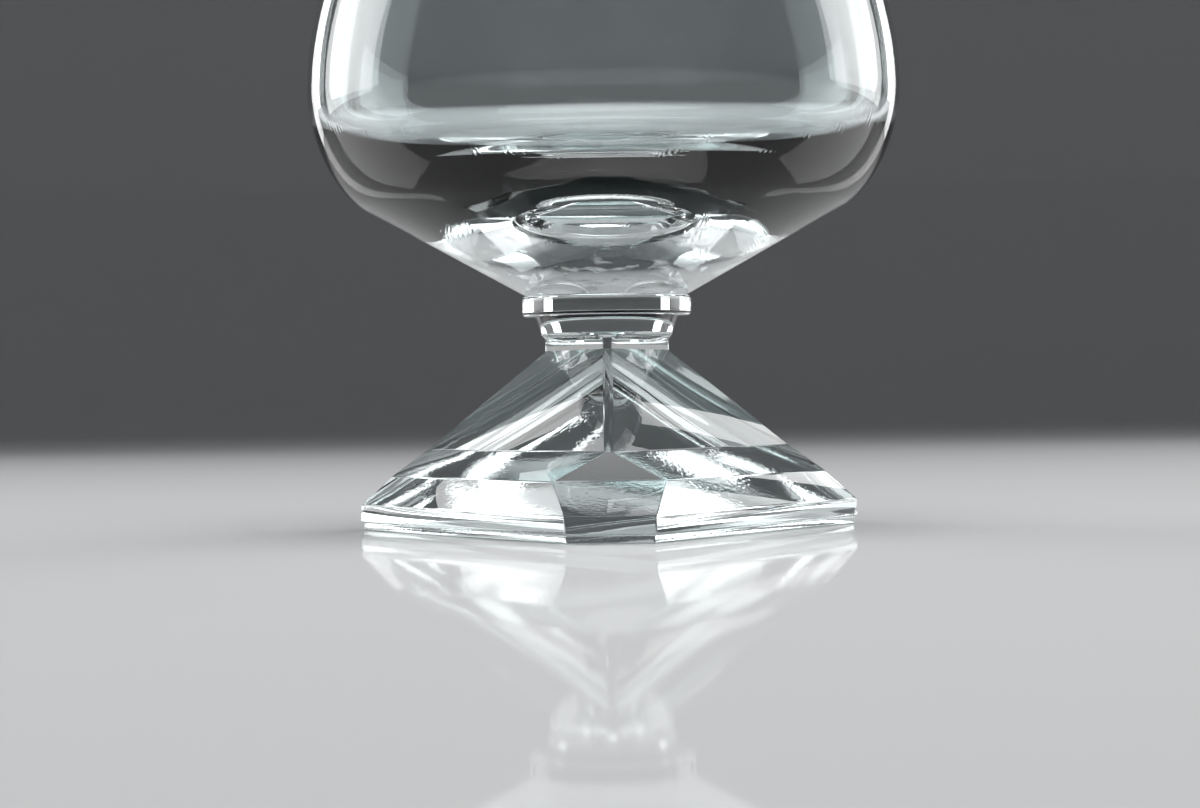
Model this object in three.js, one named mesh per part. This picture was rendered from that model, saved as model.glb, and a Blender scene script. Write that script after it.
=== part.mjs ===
// A whisky glass of clear crystal: a blown bowl on a collar disc, a short stem and a solid pressed foot.
// The foot is a three-sided pyramid with cut corners, and one cut corner faces -Y.
// Millimetres, +Z up. The origin is the centre of the face that the glass stands on.
import * as THREE from "three";

// Foot: the plan at its rim is a triangle with cut corners
const rimReach = 35.4;
const rimCutWidth = 10.9;
const rimHeight = 3.3;
const stepHeight = 1.05;
const stepInset = 0.35;
const bevelHeight = 3.95;
const bevelInset = 1.75;
const bevelReach = 29.4;
const gableHeight = 3.4;
const gableReach = 27.8;
const gableCutWidth = 1.05;
const footHeight = 23.5;

// Stem: a faceted neck on top of the foot that blends into a round flare under the collar disc
const neckReach = 9.04;
const neckCutWidth = 1.05;
const neckHeight = 1;
const blendHeight = 1.2;
const flareLowRadius = 8.45;
const flareHeight = 2.2;
const flareTopRadius = 9.3;

// Collar disc
const discRadius = 11;
const discHeight = 2.65;
const discEdgeRadius = 0.6;

// Bowl: heights are measured from its seat on the disc
const coneRadius = 31.2;
const coneHeight = 11.5;
const bellyRadius = 38.35;
const bellyHeight = 26.7;
const waistRadius = 25.4;
const waistHeight = 79.5;
const lipRadius = 27;
const lipHeight = 87;
const bellyWall = 1.9;
const lipWall = 1.5;
const baseThickness = 12.5;

// Fullness of the bowl's curves: how far each curve follows the line that it starts or ends on
const shoulderStart = 4.5;
const shoulderEnd = 6;
const bellyTopReach = 17;
const waistReach = 18;
const flareReach = 3;
const innerFloorReach = 18;
const innerWallReach = 14;

const roundSegments = 60;
const arcSteps = 3;
const curveSteps = 6;

const corners = 3;
const cornerAngle = (2 * Math.PI) / corners;
const frontAngle = -Math.PI / 2;
const sideReachRatio = Math.cos(cornerAngle / 2);
const sideCutRatio = Math.sin(cornerAngle / 2);

const neckBottom = footHeight;
const flareBottom = neckBottom + neckHeight + blendHeight;
const discBottom = flareBottom + flareHeight;
const bowlBottom = discBottom + discHeight;
const discFlatRadius = discRadius - discEdgeRadius;

// A level section of foot or neck: reach runs from the axis to a cut corner, side from the axis to a long side
function sectionFromCut(reach, cutWidth) {
  return { reach, side: reach * sideReachRatio + (cutWidth / 2) * sideCutRatio };
}

function inset(section, distance) {
  return { reach: section.reach - distance, side: section.side - distance };
}

function halfCut(section) {
  return (section.side - section.reach * sideReachRatio) / sideCutRatio;
}

// The directions of a section's vertices, two for each cut corner
function vertexAngles(section) {
  const halfAngle = Math.atan2(halfCut(section), section.reach);
  const angles = [];
  for (let i = 0; i < corners; i += 1) {
    const middle = frontAngle + i * cornerAngle;
    angles.push(middle - halfAngle, middle + halfAngle);
  }
  return angles;
}

// Distance from the axis to a section's outline in one direction
function outlineRadius(section, angle) {
  let radius = Infinity;
  for (let i = 0; i < corners; i += 1) {
    const toCut = Math.cos(angle - frontAngle - i * cornerAngle);
    const toSide = Math.cos(angle - frontAngle - (i + 0.5) * cornerAngle);
    if (toCut > 0) radius = Math.min(radius, section.reach / toCut);
    if (toSide > 0) radius = Math.min(radius, section.side / toSide);
  }
  return radius;
}

function ring(angles, radiusAt, height) {
  return angles.map((angle) => {
    const radius = radiusAt(angle);
    return new THREE.Vector3(radius * Math.cos(angle), radius * Math.sin(angle), height);
  });
}

function sectionRing(section, height) {
  return ring(vertexAngles(section), (angle) => outlineRadius(section, angle), height);
}

// A closed solid through level rings of equally many points, listed from the bottom up
function loft(rings) {
  const count = rings[0].length;
  const bottomCentre = new THREE.Vector3(0, 0, rings[0][0].z);
  const topCentre = new THREE.Vector3(0, 0, rings[rings.length - 1][0].z);
  const points = [...rings.flat(), bottomCentre, topCentre];
  const bottomIndex = points.length - 2;
  const topIndex = points.length - 1;
  const lastRing = (rings.length - 1) * count;
  const faces = [];
  for (let j = 0; j < count; j += 1) {
    const next = (j + 1) % count;
    faces.push(bottomIndex, next, j);
    faces.push(topIndex, lastRing + j, lastRing + next);
    for (let start = 0; start < lastRing; start += count) {
      faces.push(start + j, start + next, start + count + next);
      faces.push(start + j, start + count + next, start + count + j);
    }
  }
  const geometry = new THREE.BufferGeometry().setFromPoints(points);
  geometry.setIndex(faces);
  return geometry;
}

// A turned solid: the profile runs from the axis at the bottom, up the outside, to the axis at the top
function turn(profile) {
  const geometry = new THREE.LatheGeometry(profile, roundSegments);
  geometry.rotateX(Math.PI / 2);
  return geometry;
}

function glass(colour, roughness) {
  return new THREE.MeshStandardMaterial({
    color: colour,
    roughness,
    metalness: 0,
    transparent: true,
    opacity: 0.35,
  });
}

function makeFoot() {
  const rim = sectionFromCut(rimReach, rimCutWidth);
  const top = sectionFromCut(neckReach, neckCutWidth);
  const step = inset(rim, stepInset);
  const bevelTop = rimHeight + bevelHeight;
  const bevel = { reach: bevelReach, side: rim.side - bevelInset };
  const gable = sectionFromCut(gableReach, gableCutWidth);
  const geometry = loft([
    sectionRing(step, 0),
    sectionRing(step, stepHeight),
    sectionRing(rim, stepHeight),
    sectionRing(rim, rimHeight),
    sectionRing(bevel, bevelTop),
    sectionRing(gable, bevelTop + gableHeight),
    sectionRing(top, footHeight),
  ]);
  const mesh = new THREE.Mesh(geometry, glass(0xe2ecee, 0.06));
  mesh.name = "foot";
  return mesh;
}

function makeStemNeck() {
  const neck = sectionFromCut(neckReach, neckCutWidth);
  const fullTurn = 2 * Math.PI;
  const evenAngles = Array.from({ length: roundSegments }, (_, i) => frontAngle + (i * fullTurn) / roundSegments);
  const allAngles = [...evenAngles, ...vertexAngles(neck)].map((angle) => (angle + fullTurn) % fullTurn);
  const angles = allAngles.sort((a, b) => a - b);
  const facets = (angle) => outlineRadius(neck, angle);
  const geometry = loft([
    ring(angles, facets, 0),
    ring(angles, facets, neckHeight),
    ring(angles, () => flareLowRadius, neckHeight + blendHeight),
    ring(angles, () => flareTopRadius, neckHeight + blendHeight + flareHeight),
  ]);
  const mesh = new THREE.Mesh(geometry, glass(0xe4eeee, 0.05));
  mesh.name = "stem_neck";
  mesh.position.z = neckBottom;
  return mesh;
}

function makeMereseDisc() {
  const profile = new THREE.Path();
  profile.moveTo(0, 0);
  profile.lineTo(discFlatRadius, 0);
  profile.absarc(discFlatRadius, discEdgeRadius, discEdgeRadius, -Math.PI / 2, 0);
  profile.absarc(discFlatRadius, discHeight - discEdgeRadius, discEdgeRadius, 0, Math.PI / 2);
  profile.lineTo(0, discHeight);
  const mesh = new THREE.Mesh(turn(profile.getPoints(arcSteps)), glass(0xe6efef, 0.04));
  mesh.name = "merese_disc";
  mesh.position.z = discBottom;
  return mesh;
}

function makeBowl() {
  const slope = new THREE.Vector2(coneRadius - discFlatRadius, coneHeight).normalize();
  const innerBelly = bellyRadius - bellyWall;
  const innerWaist = waistRadius - lipWall;
  const lipArc = lipWall / 2;
  const profile = new THREE.Path();
  profile.moveTo(0, 0);
  profile.lineTo(discFlatRadius, 0);
  profile.lineTo(coneRadius, coneHeight);
  profile.bezierCurveTo(
    coneRadius + slope.x * shoulderStart, coneHeight + slope.y * shoulderStart,
    bellyRadius, bellyHeight - shoulderEnd,
    bellyRadius, bellyHeight,
  );
  profile.bezierCurveTo(
    bellyRadius, bellyHeight + bellyTopReach,
    waistRadius, waistHeight - waistReach,
    waistRadius, waistHeight,
  );
  profile.quadraticCurveTo(waistRadius, waistHeight + flareReach, lipRadius, lipHeight - lipArc);
  profile.absarc(lipRadius - lipArc, lipHeight - lipArc, lipArc, 0, Math.PI);
  profile.quadraticCurveTo(innerWaist, waistHeight + flareReach, innerWaist, waistHeight);
  profile.bezierCurveTo(
    innerWaist, waistHeight - waistReach,
    innerBelly, bellyHeight + bellyTopReach,
    innerBelly, bellyHeight,
  );
  profile.bezierCurveTo(
    innerBelly, bellyHeight - innerWallReach,
    innerFloorReach, baseThickness,
    0, baseThickness,
  );
  const mesh = new THREE.Mesh(turn(profile.getPoints(curveSteps)), glass(0xe8f0f1, 0.03));
  mesh.name = "bowl";
  mesh.position.z = bowlBottom;
  return mesh;
}

const whiskyGlass = new THREE.Group();
whiskyGlass.add(makeFoot(), makeStemNeck(), makeMereseDisc(), makeBowl());

export default whiskyGlass;
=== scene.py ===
import math

import bpy
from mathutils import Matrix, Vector


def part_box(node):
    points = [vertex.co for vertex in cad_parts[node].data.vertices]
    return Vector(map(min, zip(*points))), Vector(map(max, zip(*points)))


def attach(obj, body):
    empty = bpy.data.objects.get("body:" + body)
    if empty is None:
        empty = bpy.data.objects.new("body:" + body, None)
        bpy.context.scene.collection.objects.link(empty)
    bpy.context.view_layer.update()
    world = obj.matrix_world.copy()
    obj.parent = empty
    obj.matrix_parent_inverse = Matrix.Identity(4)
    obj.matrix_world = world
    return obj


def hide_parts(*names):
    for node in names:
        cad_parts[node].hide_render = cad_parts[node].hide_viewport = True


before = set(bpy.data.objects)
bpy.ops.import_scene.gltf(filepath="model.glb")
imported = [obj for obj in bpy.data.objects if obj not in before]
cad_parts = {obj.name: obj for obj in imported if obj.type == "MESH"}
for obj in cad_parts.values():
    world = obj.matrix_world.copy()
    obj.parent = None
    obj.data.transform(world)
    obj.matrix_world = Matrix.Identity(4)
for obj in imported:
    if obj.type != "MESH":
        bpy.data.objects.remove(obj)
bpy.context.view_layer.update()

print("frame loaded:", sorted(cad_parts))

mm = 0.001
fullTurn = 2 * math.pi
cornerCount = 3  # the foot's cut corners, one of them towards the camera
cornerTurn = fullTurn / cornerCount
halfCorner = (math.pi - cornerTurn) / 2  # half the angle of a corner before it is cut
mergeDistance = 1e-6  # points closer than this are one
levelTolerance = 0.002 * mm
reachTolerance = 0.01 * mm

footLow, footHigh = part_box("foot")
stemLow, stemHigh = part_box("stem_neck")
discLow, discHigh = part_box("merese_disc")
bowlLow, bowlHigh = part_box("bowl")


# modelling moves that several pieces use

def startPiece(name, addPrimitive, **primitiveValues):
    bpy.ops.object.select_all(action="DESELECT")
    addPrimitive(**primitiveValues)
    piece = bpy.context.object
    piece.name = name
    piece.data.name = name
    bpy.ops.object.mode_set(mode="EDIT")
    bpy.ops.mesh.select_mode(type="VERT")
    return piece


def selectWhere(piece, kind, test):
    # kind is VERT or EDGE, and test looks at one of them
    bpy.ops.object.mode_set(mode="OBJECT")
    mesh = piece.data
    for group in (mesh.vertices, mesh.edges, mesh.polygons):
        group.foreach_set("select", [False] * len(group))
    for item in {"VERT": mesh.vertices, "EDGE": mesh.edges}[kind]:
        item.select = test(item)
    bpy.ops.object.mode_set(mode="EDIT")
    bpy.ops.mesh.select_mode(type=kind)


def closePiece():
    bpy.ops.mesh.select_all(action="SELECT")
    bpy.ops.mesh.remove_doubles(threshold=mergeDistance)
    bpy.ops.mesh.normals_make_consistent(inside=False)
    bpy.ops.object.mode_set(mode="OBJECT")
    bpy.ops.object.transform_apply(location=True, rotation=True, scale=True)


def applyModifier(piece, name, kind, **modifierValues):
    modifier = piece.modifiers.new(name, kind)
    for key, value in modifierValues.items():
        setattr(modifier, key, value)
    bpy.context.view_layer.objects.active = piece
    bpy.ops.object.modifier_apply(modifier=name)


def turnProfile(name, profile, steps):
    # one vertex is drawn along the profile, then spun round the axis
    radius, height = profile[0]
    piece = startPiece(name, bpy.ops.mesh.primitive_plane_add, size=mm, location=(radius, 0, height))
    bpy.ops.mesh.merge(type="CENTER")
    for (r0, z0), (r1, z1) in zip(profile, profile[1:]):
        bpy.ops.mesh.extrude_region_move(TRANSFORM_OT_translate={"value": (r1 - r0, 0, z1 - z0)})
    bpy.ops.mesh.select_all(action="SELECT")
    bpy.ops.mesh.spin(steps=steps, angle=fullTurn, center=(0, 0, 0), axis=(0, 0, 1))
    closePiece()
    bpy.ops.object.shade_smooth()
    return piece


def bezier(handles, count):
    # runs from the first handle to the last, and leaves the first one out
    degree = len(handles) - 1
    points = []
    for i in range(1, count + 1):
        t = i / count
        weights = [math.comb(degree, k) * (1 - t) ** (degree - k) * t ** k for k in range(degree + 1)]
        points.append(tuple(sum(w * h[axis] for w, h in zip(weights, handles)) for axis in (0, 1)))
    return points


def arc(centre, radius, startDegrees, endDegrees, count):
    points = []
    for i in range(count + 1):
        angle = math.radians(startDegrees + (endDegrees - startDegrees) * i / count)
        points.append((centre[0] + radius * math.cos(angle), centre[1] + radius * math.sin(angle)))
    return points


# nodes that the glass materials share

def addNode(tree, kind, **settings):
    node = tree.nodes.new(kind)
    for key, value in settings.items():
        setattr(node, key, value)
    return node


def addNoise(tree, place, detail, perMetre=1.0):
    noise = addNode(tree, "ShaderNodeTexNoise")
    noise.inputs["Scale"].default_value = perMetre
    noise.inputs["Detail"].default_value = detail
    tree.links.new(place.outputs["Object"], noise.inputs["Vector"])
    return noise


def addStep(tree, noneAt, fullAt):
    # a smooth step from 0 to 1 between two values
    step = addNode(tree, "ShaderNodeMapRange", interpolation_type="SMOOTHSTEP")
    step.inputs["From Min"].default_value = noneAt
    step.inputs["From Max"].default_value = fullAt
    return step


def multiply(tree, first, second):
    product = addNode(tree, "ShaderNodeMath", operation="MULTIPLY")
    tree.links.new(first, product.inputs[0])
    tree.links.new(second, product.inputs[1])
    return product.outputs[0]


def startGroup(name, inputs, outputs):
    tree = bpy.data.node_groups.new(name, "ShaderNodeTree")
    for direction, labels in (("INPUT", inputs), ("OUTPUT", outputs)):
        for label in labels:
            tree.interface.new_socket(name=label, in_out=direction, socket_type="NodeSocketFloat")
    return tree, tree.nodes.new("NodeGroupInput"), tree.nodes.new("NodeGroupOutput")


waveValues = {"detail": 1.5, "roughness": 0.4}
hazeValues = {"patchesPerMetre": 90, "detail": 4, "noneAt": 0.52, "fullAt": 0.74}


def makeWaveGroup(v):
    # slow waves of a surface that cooled in a mould or on a pipe
    tree, given, result = startGroup("glass_waves", ["Waves per metre"], ["Height"])
    place = addNode(tree, "ShaderNodeTexCoord")
    slow = addNoise(tree, place, v["detail"])
    slow.inputs["Roughness"].default_value = v["roughness"]
    tree.links.new(given.outputs["Waves per metre"], slow.inputs["Scale"])
    tree.links.new(slow.outputs["Fac"], result.inputs["Height"])
    return tree


def makeHazeGroup(v):
    # patches where handling has left a trace of haze
    tree, given, result = startGroup("handling_haze", ["Hazy"], ["Roughness", "Cloud"])
    place = addNode(tree, "ShaderNodeTexCoord")
    patches = addNoise(tree, place, v["detail"], v["patchesPerMetre"])
    spread = addStep(tree, v["noneAt"], v["fullAt"])
    tree.links.new(patches.outputs["Fac"], spread.inputs["Value"])
    tree.links.new(given.outputs["Hazy"], spread.inputs["To Max"])
    tree.links.new(spread.outputs["Result"], result.inputs["Roughness"])
    tree.links.new(patches.outputs["Fac"], result.inputs["Cloud"])
    return tree


waveGroup = makeWaveGroup(waveValues)
hazeGroup = makeHazeGroup(hazeValues)


def placeGroup(tree, group, label, value):
    node = addNode(tree, "ShaderNodeGroup", node_tree=group)
    node.inputs[label].default_value = value
    return node


glassIor = 1.52
colourA, colourB, colourResult = 6, 7, 2  # a Mix node's colour sockets, whose names its other sockets share


def makeGlass(name, v):
    # clear glass: two close tints drift over it, haze roughens patches, slow waves bend what it mirrors
    material = bpy.data.materials.new(name)
    material.use_nodes = True
    tree = material.node_tree
    shader = tree.nodes["Principled BSDF"]
    shader.inputs["IOR"].default_value = glassIor
    shader.inputs["Transmission Weight"].default_value = 1
    haze = placeGroup(tree, hazeGroup, "Hazy", v["haze"])
    tints = addNode(tree, "ShaderNodeMix", data_type="RGBA")
    tints.inputs[colourA].default_value = (*v["tint"], 1)
    tints.inputs[colourB].default_value = (*v["tintDeep"], 1)
    waves = placeGroup(tree, waveGroup, "Waves per metre", v["wavesPerMetre"])
    bump = addNode(tree, "ShaderNodeBump")
    bump.inputs["Distance"].default_value = v["waveHeight"]
    tree.links.new(haze.outputs["Roughness"], shader.inputs["Roughness"])
    tree.links.new(haze.outputs["Cloud"], tints.inputs["Factor"])
    tree.links.new(tints.outputs[colourResult], shader.inputs["Base Color"])
    tree.links.new(waves.outputs["Height"], bump.inputs["Height"])
    tree.links.new(bump.outputs["Normal"], shader.inputs["Normal"])
    return material, tree, bump


def bumpOver(tree, waves, height, distance):
    # a finer relief on top of the waves
    bump = addNode(tree, "ShaderNodeBump")
    bump.inputs["Distance"].default_value = distance
    tree.links.new(height, bump.inputs["Height"])
    tree.links.new(waves.outputs["Normal"], bump.inputs["Normal"])
    tree.links.new(bump.outputs["Normal"], tree.nodes["Principled BSDF"].inputs["Normal"])


def makeFusedJoin():
    # where two gathers are fused, light goes straight on
    material = bpy.data.materials.new("fused_join")
    material.use_nodes = True
    material.node_tree.nodes["Principled BSDF"].inputs["Alpha"].default_value = 0
    return material


joinMaterial = makeFusedJoin()
print("node groups and the join's material made")


def dress(piece, node, material, joins):
    # joins are heights, each with the radius that the next piece covers there
    piece.data.materials.append(material)
    piece.data.materials.append(joinMaterial)
    for face in piece.data.polygons:
        corners = [piece.data.vertices[i].co for i in face.vertices]
        for height, radius in joins:
            level = all(abs(c.z - height) < levelTolerance for c in corners)
            if level and all(c.xy.length < radius + reachTolerance for c in corners):
                face.material_index = 1
    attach(piece, "root")
    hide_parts(node)


# foot: a three-sided pyramid with cut corners, pressed in a mould

footValues = {
    "rimReach": 35.4 * mm,
    "rimCut": 10.9 * mm,
    "rimHeight": 3.3 * mm,
    "stepHeight": 1.05 * mm,
    "stepInset": 0.35 * mm,
    "stepSlope": 0.02 * mm,
    "bevelTop": 7.25 * mm,
    "bevelReach": 29.4 * mm,
    "bevelCut": 13.7 * mm,
    "gableTop": 10.65 * mm,
    "gableReach": 27.8 * mm,
    "gableCut": 1.05 * mm,
    "neckReach": 9.04 * mm,
    "neckCut": 1.05 * mm,
    "edgeRound": 0.5 * mm,
    "edgeSegments": 4,
    "joinMargin": 0.1 * mm,
    "tint": (0.895, 0.968, 0.968),
    "tintDeep": (0.86, 0.952, 0.954),
    "haze": 0.02,
    "wavesPerMetre": 130.0,
    "waveHeight": 0.012 * mm,
    "speckleHeight": 0.02 * mm,
    "specklesPerMetre": 1500.0,
    "speckleDetail": 2,
    "speckleNoneAbove": 0.9 * mm,
    "speckleFullBelow": 0.2 * mm,
}


def cornerSection(reach, cutWidth, height, fill):
    # a triangle whose corners are cut, reach is from the axis to a cut
    uncutReach = reach + cutWidth / 2 / math.tan(halfCorner)
    bpy.ops.mesh.select_all(action="DESELECT")
    bpy.ops.mesh.primitive_circle_add(
        vertices=cornerCount, radius=uncutReach, fill_type=fill,
        location=(0, 0, height), rotation=(0, 0, math.pi),
    )
    bpy.ops.mesh.bevel(affect="VERTICES", offset=cutWidth, offset_type="OFFSET", segments=1)


def bridgeHeights(piece, low, high):
    levels = [{round(low / mergeDistance)}, {round(high / mergeDistance)}]

    def onRing(edge):
        return {round(piece.data.vertices[i].co.z / mergeDistance) for i in edge.vertices} in levels

    selectWhere(piece, "EDGE", onRing)
    bpy.ops.mesh.bridge_edge_loops()


def makeFoot(v):
    bottom = footLow.z
    top = footHigh.z
    insetReach = v["rimReach"] - v["stepInset"]
    insetCut = v["rimCut"] - 2 * v["stepInset"] * math.tan(halfCorner)
    rows = [
        (insetReach, insetCut, bottom),
        (insetReach, insetCut, v["stepHeight"] - v["stepSlope"]),
        (v["rimReach"], v["rimCut"], v["stepHeight"] + v["stepSlope"]),
        (v["rimReach"], v["rimCut"], v["rimHeight"]),
        (v["bevelReach"], v["bevelCut"], v["bevelTop"]),
        (v["gableReach"], v["gableCut"], v["gableTop"]),
        (v["neckReach"], v["neckCut"], top),
    ]
    piece = startPiece("foot_pressed", bpy.ops.mesh.primitive_plane_add, size=mm)
    bpy.ops.mesh.delete(type="VERT")
    for reach, cut, height in rows:
        cornerSection(reach, cut, height, "NGON" if height in (bottom, top) else "NOTHING")
    for low, high in zip(rows, rows[1:]):
        bridgeHeights(piece, low[2], high[2])
    closePiece()

    def offJoin(edge):
        return min(piece.data.vertices[i].co.z for i in edge.vertices) < top - v["joinMargin"]

    # every edge is rounded but the ones at the join with the stem
    selectWhere(piece, "EDGE", offJoin)
    bpy.ops.transform.edge_bevelweight(value=1)
    bpy.ops.object.mode_set(mode="OBJECT")
    applyModifier(
        piece, "soft_edges", "BEVEL", width=v["edgeRound"], segments=v["edgeSegments"],
        limit_method="WEIGHT", use_clamp_overlap=True, harden_normals=True,
    )
    bpy.ops.object.shade_smooth()
    return piece


def makeFootGlass(v):
    material, tree, waves = makeGlass("foot_glass_pressed", v)
    # the inset band at the very bottom is speckled by the mould
    place = addNode(tree, "ShaderNodeTexCoord")
    parts = addNode(tree, "ShaderNodeSeparateXYZ")
    band = addStep(tree, v["stepHeight"] + v["speckleNoneAbove"], v["stepHeight"] - v["speckleFullBelow"])
    speckles = addNoise(tree, place, v["speckleDetail"], v["specklesPerMetre"])
    tree.links.new(place.outputs["Object"], parts.inputs[0])
    tree.links.new(parts.outputs["Z"], band.inputs["Value"])
    amount = multiply(tree, band.outputs["Result"], speckles.outputs["Fac"])
    bumpOver(tree, waves, amount, v["speckleHeight"])
    return material


foot = makeFoot(footValues)
dress(foot, "foot", makeFootGlass(footValues), [(footHigh.z, footHigh.x)])
print("foot:", len(foot.data.polygons), "faces")


# stem: a short neck with flats over the foot's faces, and a round flare under the disc

stemValues = {
    "neckReach": footValues["neckReach"],
    "neckCut": footValues["neckCut"],
    "neckRadius": 9.05 * mm,
    "neckTop": 24.5 * mm,
    "scoopHeight": 1.2 * mm,
    "scoopRings": 6,
    "flareLow": 8.45 * mm,
    "flareHigh": 9.3 * mm,
    "steps": 96,
    "smoothDegrees": 28,
    "tint": (0.905, 0.968, 0.965),
    "tintDeep": (0.875, 0.953, 0.95),
    "haze": 0.015,
    "wavesPerMetre": 220.0,
    "waveHeight": 0.008 * mm,
}


def flatten(piece, height, direction, distance):
    # what stands past a flat on one ring is scaled to nothing along the flat's normal
    def beyond(vertex):
        return abs(vertex.co.z - height) < mergeDistance and vertex.co.xy.dot(direction) > distance

    selectWhere(piece, "VERT", beyond)
    x, y = direction
    bpy.ops.transform.resize(
        value=(0, 1, 1), constraint_axis=(True, False, False), orient_type="GLOBAL",
        orient_matrix=((x, y, 0), (-y, x, 0), (0, 0, 1)), orient_matrix_type="GLOBAL",
        center_override=(x * distance, y * distance, height),
    )


def makeStem(v):
    # each ring has its height and how far it has gone from the flats to the round flare
    rings = [(stemLow.z, 0.0), ((stemLow.z + v["neckTop"]) / 2, 0.0), (v["neckTop"], 0.0)]
    for i in range(1, v["scoopRings"]):
        turn = math.pi / 2 * i / v["scoopRings"]
        rings.append((v["neckTop"] + v["scoopHeight"] * math.sin(turn), 1 - math.cos(turn)))
    profile = [(0, stemLow.z)]
    for height, part in rings:
        profile.append((v["neckRadius"] + (v["flareLow"] - v["neckRadius"]) * part, height))
    profile.append((v["flareLow"], v["neckTop"] + v["scoopHeight"]))
    profile += [(v["flareHigh"], stemHigh.z), (0, stemHigh.z)]
    piece = turnProfile("stem_turned", profile, v["steps"])
    bpy.ops.object.mode_set(mode="EDIT")
    sideReach = v["neckReach"] * math.cos(cornerTurn / 2) + v["neckCut"] / 2 * math.sin(cornerTurn / 2)
    for i in range(2 * cornerCount):
        angle = -math.pi / 2 + i * cornerTurn / 2
        flat = v["neckReach"] if i % 2 == 0 else sideReach
        for height, part in rings:
            reach = flat + (v["flareLow"] - flat) * part
            flatten(piece, height, Vector((math.cos(angle), math.sin(angle))), reach)
    closePiece()
    bpy.ops.object.shade_smooth_by_angle(angle=math.radians(v["smoothDegrees"]))
    return piece


stem = makeStem(stemValues)
stemGlass = makeGlass("stem_glass_pressed", stemValues)[0]
dress(stem, "stem_neck", stemGlass, [(stemLow.z, stemHigh.x), (stemHigh.z, stemHigh.x)])
print("stem:", len(stem.data.polygons), "faces")


# collar disc

discValues = {
    "stemSeat": stemValues["flareHigh"],
    "bowlSeat": 10.4 * mm,
    "edgeRound": 0.55 * mm,
    "edgeSteps": 6,
    "steps": 128,
    "tint": (0.93, 0.976, 0.975),
    "tintDeep": (0.91, 0.965, 0.966),
    "haze": 0.012,
    "wavesPerMetre": 200.0,
    "waveHeight": 0.012 * mm,
}


def makeDisc(v):
    rounding = v["edgeRound"]
    flat = discHigh.x - rounding
    profile = [(0, discLow.z), (v["stemSeat"], discLow.z)]
    profile += arc((flat, discLow.z + rounding), rounding, -90, 0, v["edgeSteps"])
    profile += arc((flat, discHigh.z - rounding), rounding, 0, 90, v["edgeSteps"])
    profile += [(v["bowlSeat"], discHigh.z), (0, discHigh.z)]
    return turnProfile("collar_disc", profile, v["steps"])


disc = makeDisc(discValues)
discGlass = makeGlass("disc_glass_polished", discValues)[0]
discJoins = [(discLow.z, discValues["stemSeat"]), (discHigh.z, discValues["bowlSeat"])]
dress(disc, "merese_disc", discGlass, discJoins)
print("collar disc:", len(disc.data.polygons), "faces")


# bowl: blown, with a heavy base

bowlValues = {
    "seatRadius": discValues["bowlSeat"],
    "coneRadius": 31.2 * mm,
    "coneHeight": 11.5 * mm,
    "bellyHeight": 26.7 * mm,
    "waistRadius": 25.4 * mm,
    "waistHeight": 79.5 * mm,
    "lipRadius": 27.0 * mm,
    "bellyWall": 1.9 * mm,
    "lipWall": 1.5 * mm,
    "baseThickness": 12.5 * mm,
    "shoulderStart": 4.5 * mm,
    "shoulderEnd": 6.0 * mm,
    "bellyTopReach": 17.0 * mm,
    "waistReach": 18.0 * mm,
    "flareReach": 3.0 * mm,
    "innerFloorReach": 18.0 * mm,
    "innerWallReach": 14.0 * mm,
    "shoulderSteps": 18,
    "wallSteps": 22,
    "lipSteps": 8,
    "floorSteps": 40,
    "steps": 160,
    "tint": (0.93, 0.978, 0.98),
    "tintDeep": (0.905, 0.966, 0.97),
    "haze": 0.012,
    "wavesPerMetre": 60.0,
    "waveHeight": 0.012 * mm,
    "flecks": 260,
    "fleckHeight": 0.003 * mm,
    "fleckLow": 33.0 * mm,
    "fleckLowFade": 4.0 * mm,
    "fleckHigh": 58.0 * mm,
    "fleckHighFade": 8.0 * mm,
    "fleckPatchesPerMetre": 420,
    "fleckPatchDetail": 2,
    "fleckNoneAt": 0.55,
    "fleckFullAt": 0.7,
}


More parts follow.
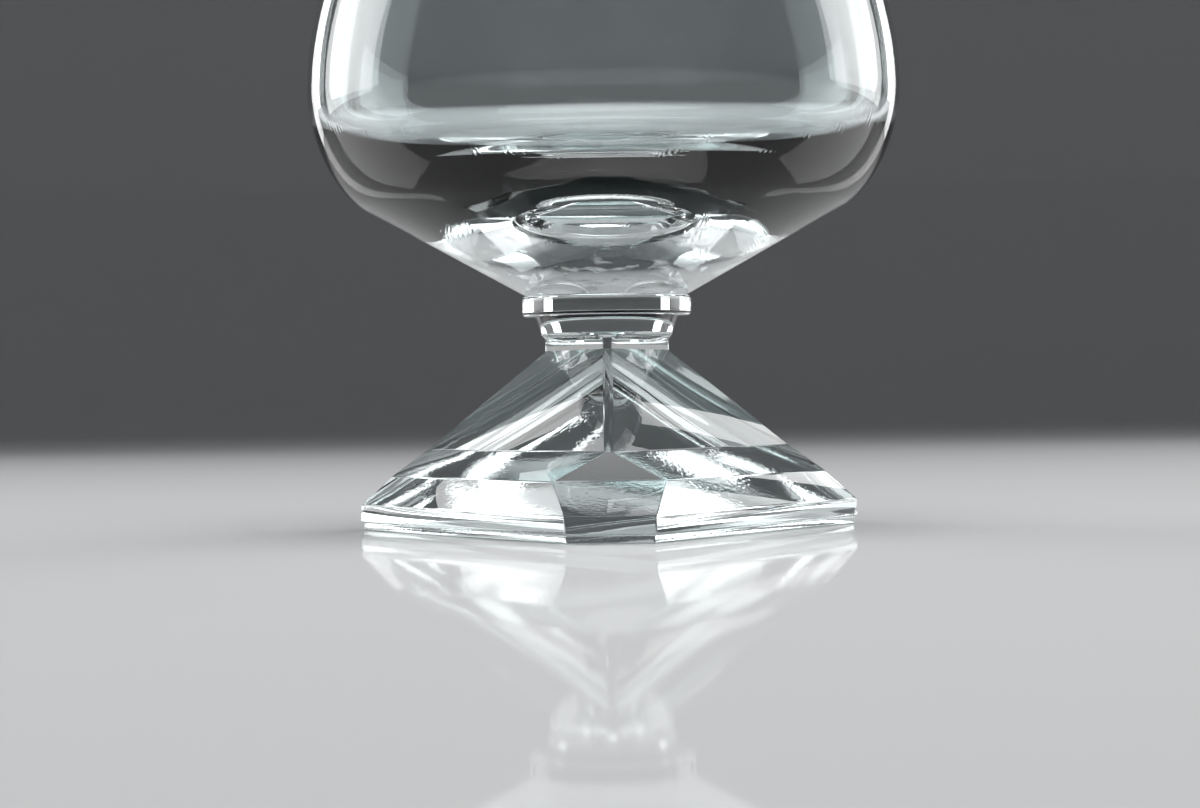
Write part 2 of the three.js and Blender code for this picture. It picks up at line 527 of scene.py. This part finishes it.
def makeBowl(v):
    z0 = bowlLow.z
    belly = bowlHigh.x
    lipArc = v["lipWall"] / 2
    slope = Vector((v["coneRadius"] - v["seatRadius"], v["coneHeight"])).normalized()
    cone = (v["coneRadius"], z0 + v["coneHeight"])
    bellyPoint = (belly, z0 + v["bellyHeight"])
    waist = (v["waistRadius"], z0 + v["waistHeight"])
    lip = (v["lipRadius"], bowlHigh.z - lipArc)
    innerWaist = (waist[0] - v["lipWall"], waist[1])
    innerBelly = (belly - v["bellyWall"], bellyPoint[1])
    innerLip = (lip[0] - v["lipWall"], lip[1])
    floor = (0, z0 + v["baseThickness"])
    # the curves' handles, up the outside and down the inside
    shoulderStart = (cone[0] + slope.x * v["shoulderStart"], cone[1] + slope.y * v["shoulderStart"])
    shoulderEnd = (belly, bellyPoint[1] - v["shoulderEnd"])
    wallStart = (belly, bellyPoint[1] + v["bellyTopReach"])
    wallEnd = (waist[0], waist[1] - v["waistReach"])
    flare = (waist[0], waist[1] + v["flareReach"])
    innerFlare = (innerWaist[0], flare[1])
    innerWallStart = (innerWaist[0], wallEnd[1])
    innerWallEnd = (innerBelly[0], wallStart[1])
    floorStart = (innerBelly[0], bellyPoint[1] - v["innerWallReach"])
    floorEnd = (v["innerFloorReach"], floor[1])
    profile = [(0, z0), (v["seatRadius"], z0), cone]
    profile += bezier([cone, shoulderStart, shoulderEnd, bellyPoint], v["shoulderSteps"])
    profile += bezier([bellyPoint, wallStart, wallEnd, waist], v["wallSteps"])
    profile += bezier([waist, flare, lip], v["lipSteps"])
    profile += arc((lip[0] - lipArc, lip[1]), lipArc, 0, 180, v["lipSteps"])[1:]
    profile += bezier([innerLip, innerFlare, innerWaist], v["lipSteps"])
    profile += bezier([innerWaist, innerWallStart, innerWallEnd, innerBelly], v["wallSteps"])
    profile += bezier([innerBelly, floorStart, floorEnd, floor], v["floorSteps"])
    return turnProfile("bowl_blown", profile, v["steps"])


def makeBowlGlass(v):
    material, tree, waves = makeGlass("bowl_glass_blown", v)
    # fine upright flecks catch the light round the lower part of the bowl, in broken patches
    place = addNode(tree, "ShaderNodeTexCoord")
    parts = addNode(tree, "ShaderNodeSeparateXYZ")
    angle = addNode(tree, "ShaderNodeMath", operation="ARCTAN2")
    turns = addNode(tree, "ShaderNodeMath", operation="MULTIPLY")
    turns.inputs[1].default_value = v["flecks"]
    ridges = addNode(tree, "ShaderNodeMath", operation="SINE")
    rise = addStep(tree, v["fleckLow"], v["fleckLow"] + v["fleckLowFade"])
    fall = addStep(tree, v["fleckHigh"], v["fleckHigh"] - v["fleckHighFade"])
    patches = addNoise(tree, place, v["fleckPatchDetail"], v["fleckPatchesPerMetre"])
    broken = addStep(tree, v["fleckNoneAt"], v["fleckFullAt"])
    tree.links.new(place.outputs["Object"], parts.inputs[0])
    tree.links.new(parts.outputs["Y"], angle.inputs[0])
    tree.links.new(parts.outputs["X"], angle.inputs[1])
    tree.links.new(angle.outputs[0], turns.inputs[0])
    tree.links.new(turns.outputs[0], ridges.inputs[0])
    tree.links.new(parts.outputs["Z"], rise.inputs["Value"])
    tree.links.new(parts.outputs["Z"], fall.inputs["Value"])
    tree.links.new(patches.outputs["Fac"], broken.inputs["Value"])
    inBand = multiply(tree, rise.outputs["Result"], fall.outputs["Result"])
    inPatch = multiply(tree, inBand, broken.outputs["Result"])
    amount = multiply(tree, inPatch, ridges.outputs[0])
    bumpOver(tree, waves, amount, v["fleckHeight"])
    return material


bowl = makeBowl(bowlValues)
dress(bowl, "bowl", makeBowlGlass(bowlValues), [(bowlLow.z, bowlValues["seatRadius"])])
print("bowl:", len(bowl.data.polygons), "faces")


# stage

stageValues = {
    "floorRadius": 1.5,
    "coveRadius": 0.7,
    "coveSteps": 24,
    "wallTop": 1.9,
    "steps": 128,
    "below": 0.05 * mm,
    "colour": (0.80, 0.805, 0.81),
    "gloss": 0.34,
    "glossRoughness": 0.035,
    "ambient": (0.10, 0.102, 0.106),
}


def makeFloorFinish(v):
    material = bpy.data.materials.new("pale_floor")
    material.use_nodes = True
    tree = material.node_tree
    tree.nodes.clear()
    output = addNode(tree, "ShaderNodeOutputMaterial")
    matt = addNode(tree, "ShaderNodeBsdfDiffuse")
    matt.inputs["Color"].default_value = (*v["colour"], 1)
    glossy = addNode(tree, "ShaderNodeBsdfGlossy")
    glossy.inputs["Roughness"].default_value = v["glossRoughness"]
    mixed = addNode(tree, "ShaderNodeMixShader")
    mixed.inputs["Fac"].default_value = v["gloss"]
    tree.links.new(matt.outputs[0], mixed.inputs[1])
    tree.links.new(glossy.outputs[0], mixed.inputs[2])
    tree.links.new(mixed.outputs[0], output.inputs["Surface"])
    return material


def makeStage(v):
    # a pale floor that sweeps up into a round wall, a little glossy, so that the foot shows in it
    profile = [(0, -v["below"]), (v["floorRadius"], -v["below"])]
    coveCentre = (v["floorRadius"], v["coveRadius"] - v["below"])
    profile += arc(coveCentre, v["coveRadius"], -90, 0, v["coveSteps"])[1:]
    profile += [(v["floorRadius"] + v["coveRadius"], v["wallTop"])]
    floor = turnProfile("pale_floor", profile, v["steps"])
    floor.data.materials.append(makeFloorFinish(v))
    world = bpy.data.worlds.new("studio")
    bpy.context.scene.world = world
    world.use_nodes = True
    world.node_tree.nodes["Background"].inputs["Color"].default_value = (*v["ambient"], 1)


makeStage(stageValues)

# azimuth runs from the camera's side towards +X, and bright is how bright a lamp is at any size
sideLamp = {"elevation": 12, "distance": 0.9, "height": 0.9, "spread": 120, "aim": (0, 0, 0.05)}
stripLamp = {**sideLamp, "width": 0.58, "bright": 1.5}
edgeLamp = {**sideLamp, "width": 0.12, "bright": 1.05}
lampValues = {
    "strip_left": {**stripLamp, "azimuth": -114},
    "strip_right": {**stripLamp, "azimuth": 114},
    "edge_left": {**edgeLamp, "azimuth": -148},
    "edge_right": {**edgeLamp, "azimuth": 148},
    "top_soft": {
        "azimuth": 20, "elevation": 76, "distance": 0.9, "width": 0.9, "height": 0.9,
        "bright": 1.3, "spread": 110, "aim": (0, -0.1, 0),
    },
}


def addLamp(name, v):
    azimuth = math.radians(v["azimuth"])
    elevation = math.radians(v["elevation"])
    level = math.cos(elevation)
    outward = Vector((math.sin(azimuth) * level, -math.cos(azimuth) * level, math.sin(elevation)))
    lamp = bpy.data.lights.new(name, "AREA")
    lamp.shape = "RECTANGLE"
    lamp.size = v["width"]
    lamp.size_y = v["height"]
    lamp.spread = math.radians(v["spread"])
    lamp.energy = v["bright"] * math.pi * v["width"] * v["height"]
    holder = bpy.data.objects.new(name, lamp)
    holder.location = outward * v["distance"] + Vector(v["aim"])
    holder.rotation_euler = outward.to_track_quat("Z", "Y").to_euler()
    bpy.context.collection.objects.link(holder)
    holder.visible_camera = False  # a lamp shows in the glass only, not as a bright sheet behind it


for lampName, values in lampValues.items():
    addLamp(lampName, values)
print("stage and lamps set")


# camera

cameraValues = {
    "distance": 0.374,
    "eyeHeight": 0.0165,
    "aside": -0.00103,
    "lens": 86.3,
    "sensorWidth": 36,
    "clipStart": 0.01,
    "rollDegrees": 0.81,
}


def addCamera(v):
    data = bpy.data.cameras.new("camera")
    data.sensor_width = v["sensorWidth"]
    data.lens = v["lens"]
    data.clip_start = v["clipStart"]
    camera = bpy.data.objects.new("camera", data)
    camera.location = (v["aside"], -v["distance"], v["eyeHeight"])
    camera.rotation_euler = (math.pi / 2, math.radians(v["rollDegrees"]), 0)
    bpy.context.collection.objects.link(camera)
    bpy.context.scene.camera = camera


addCamera(cameraValues)
bpy.context.scene.view_settings.view_transform = "Standard"
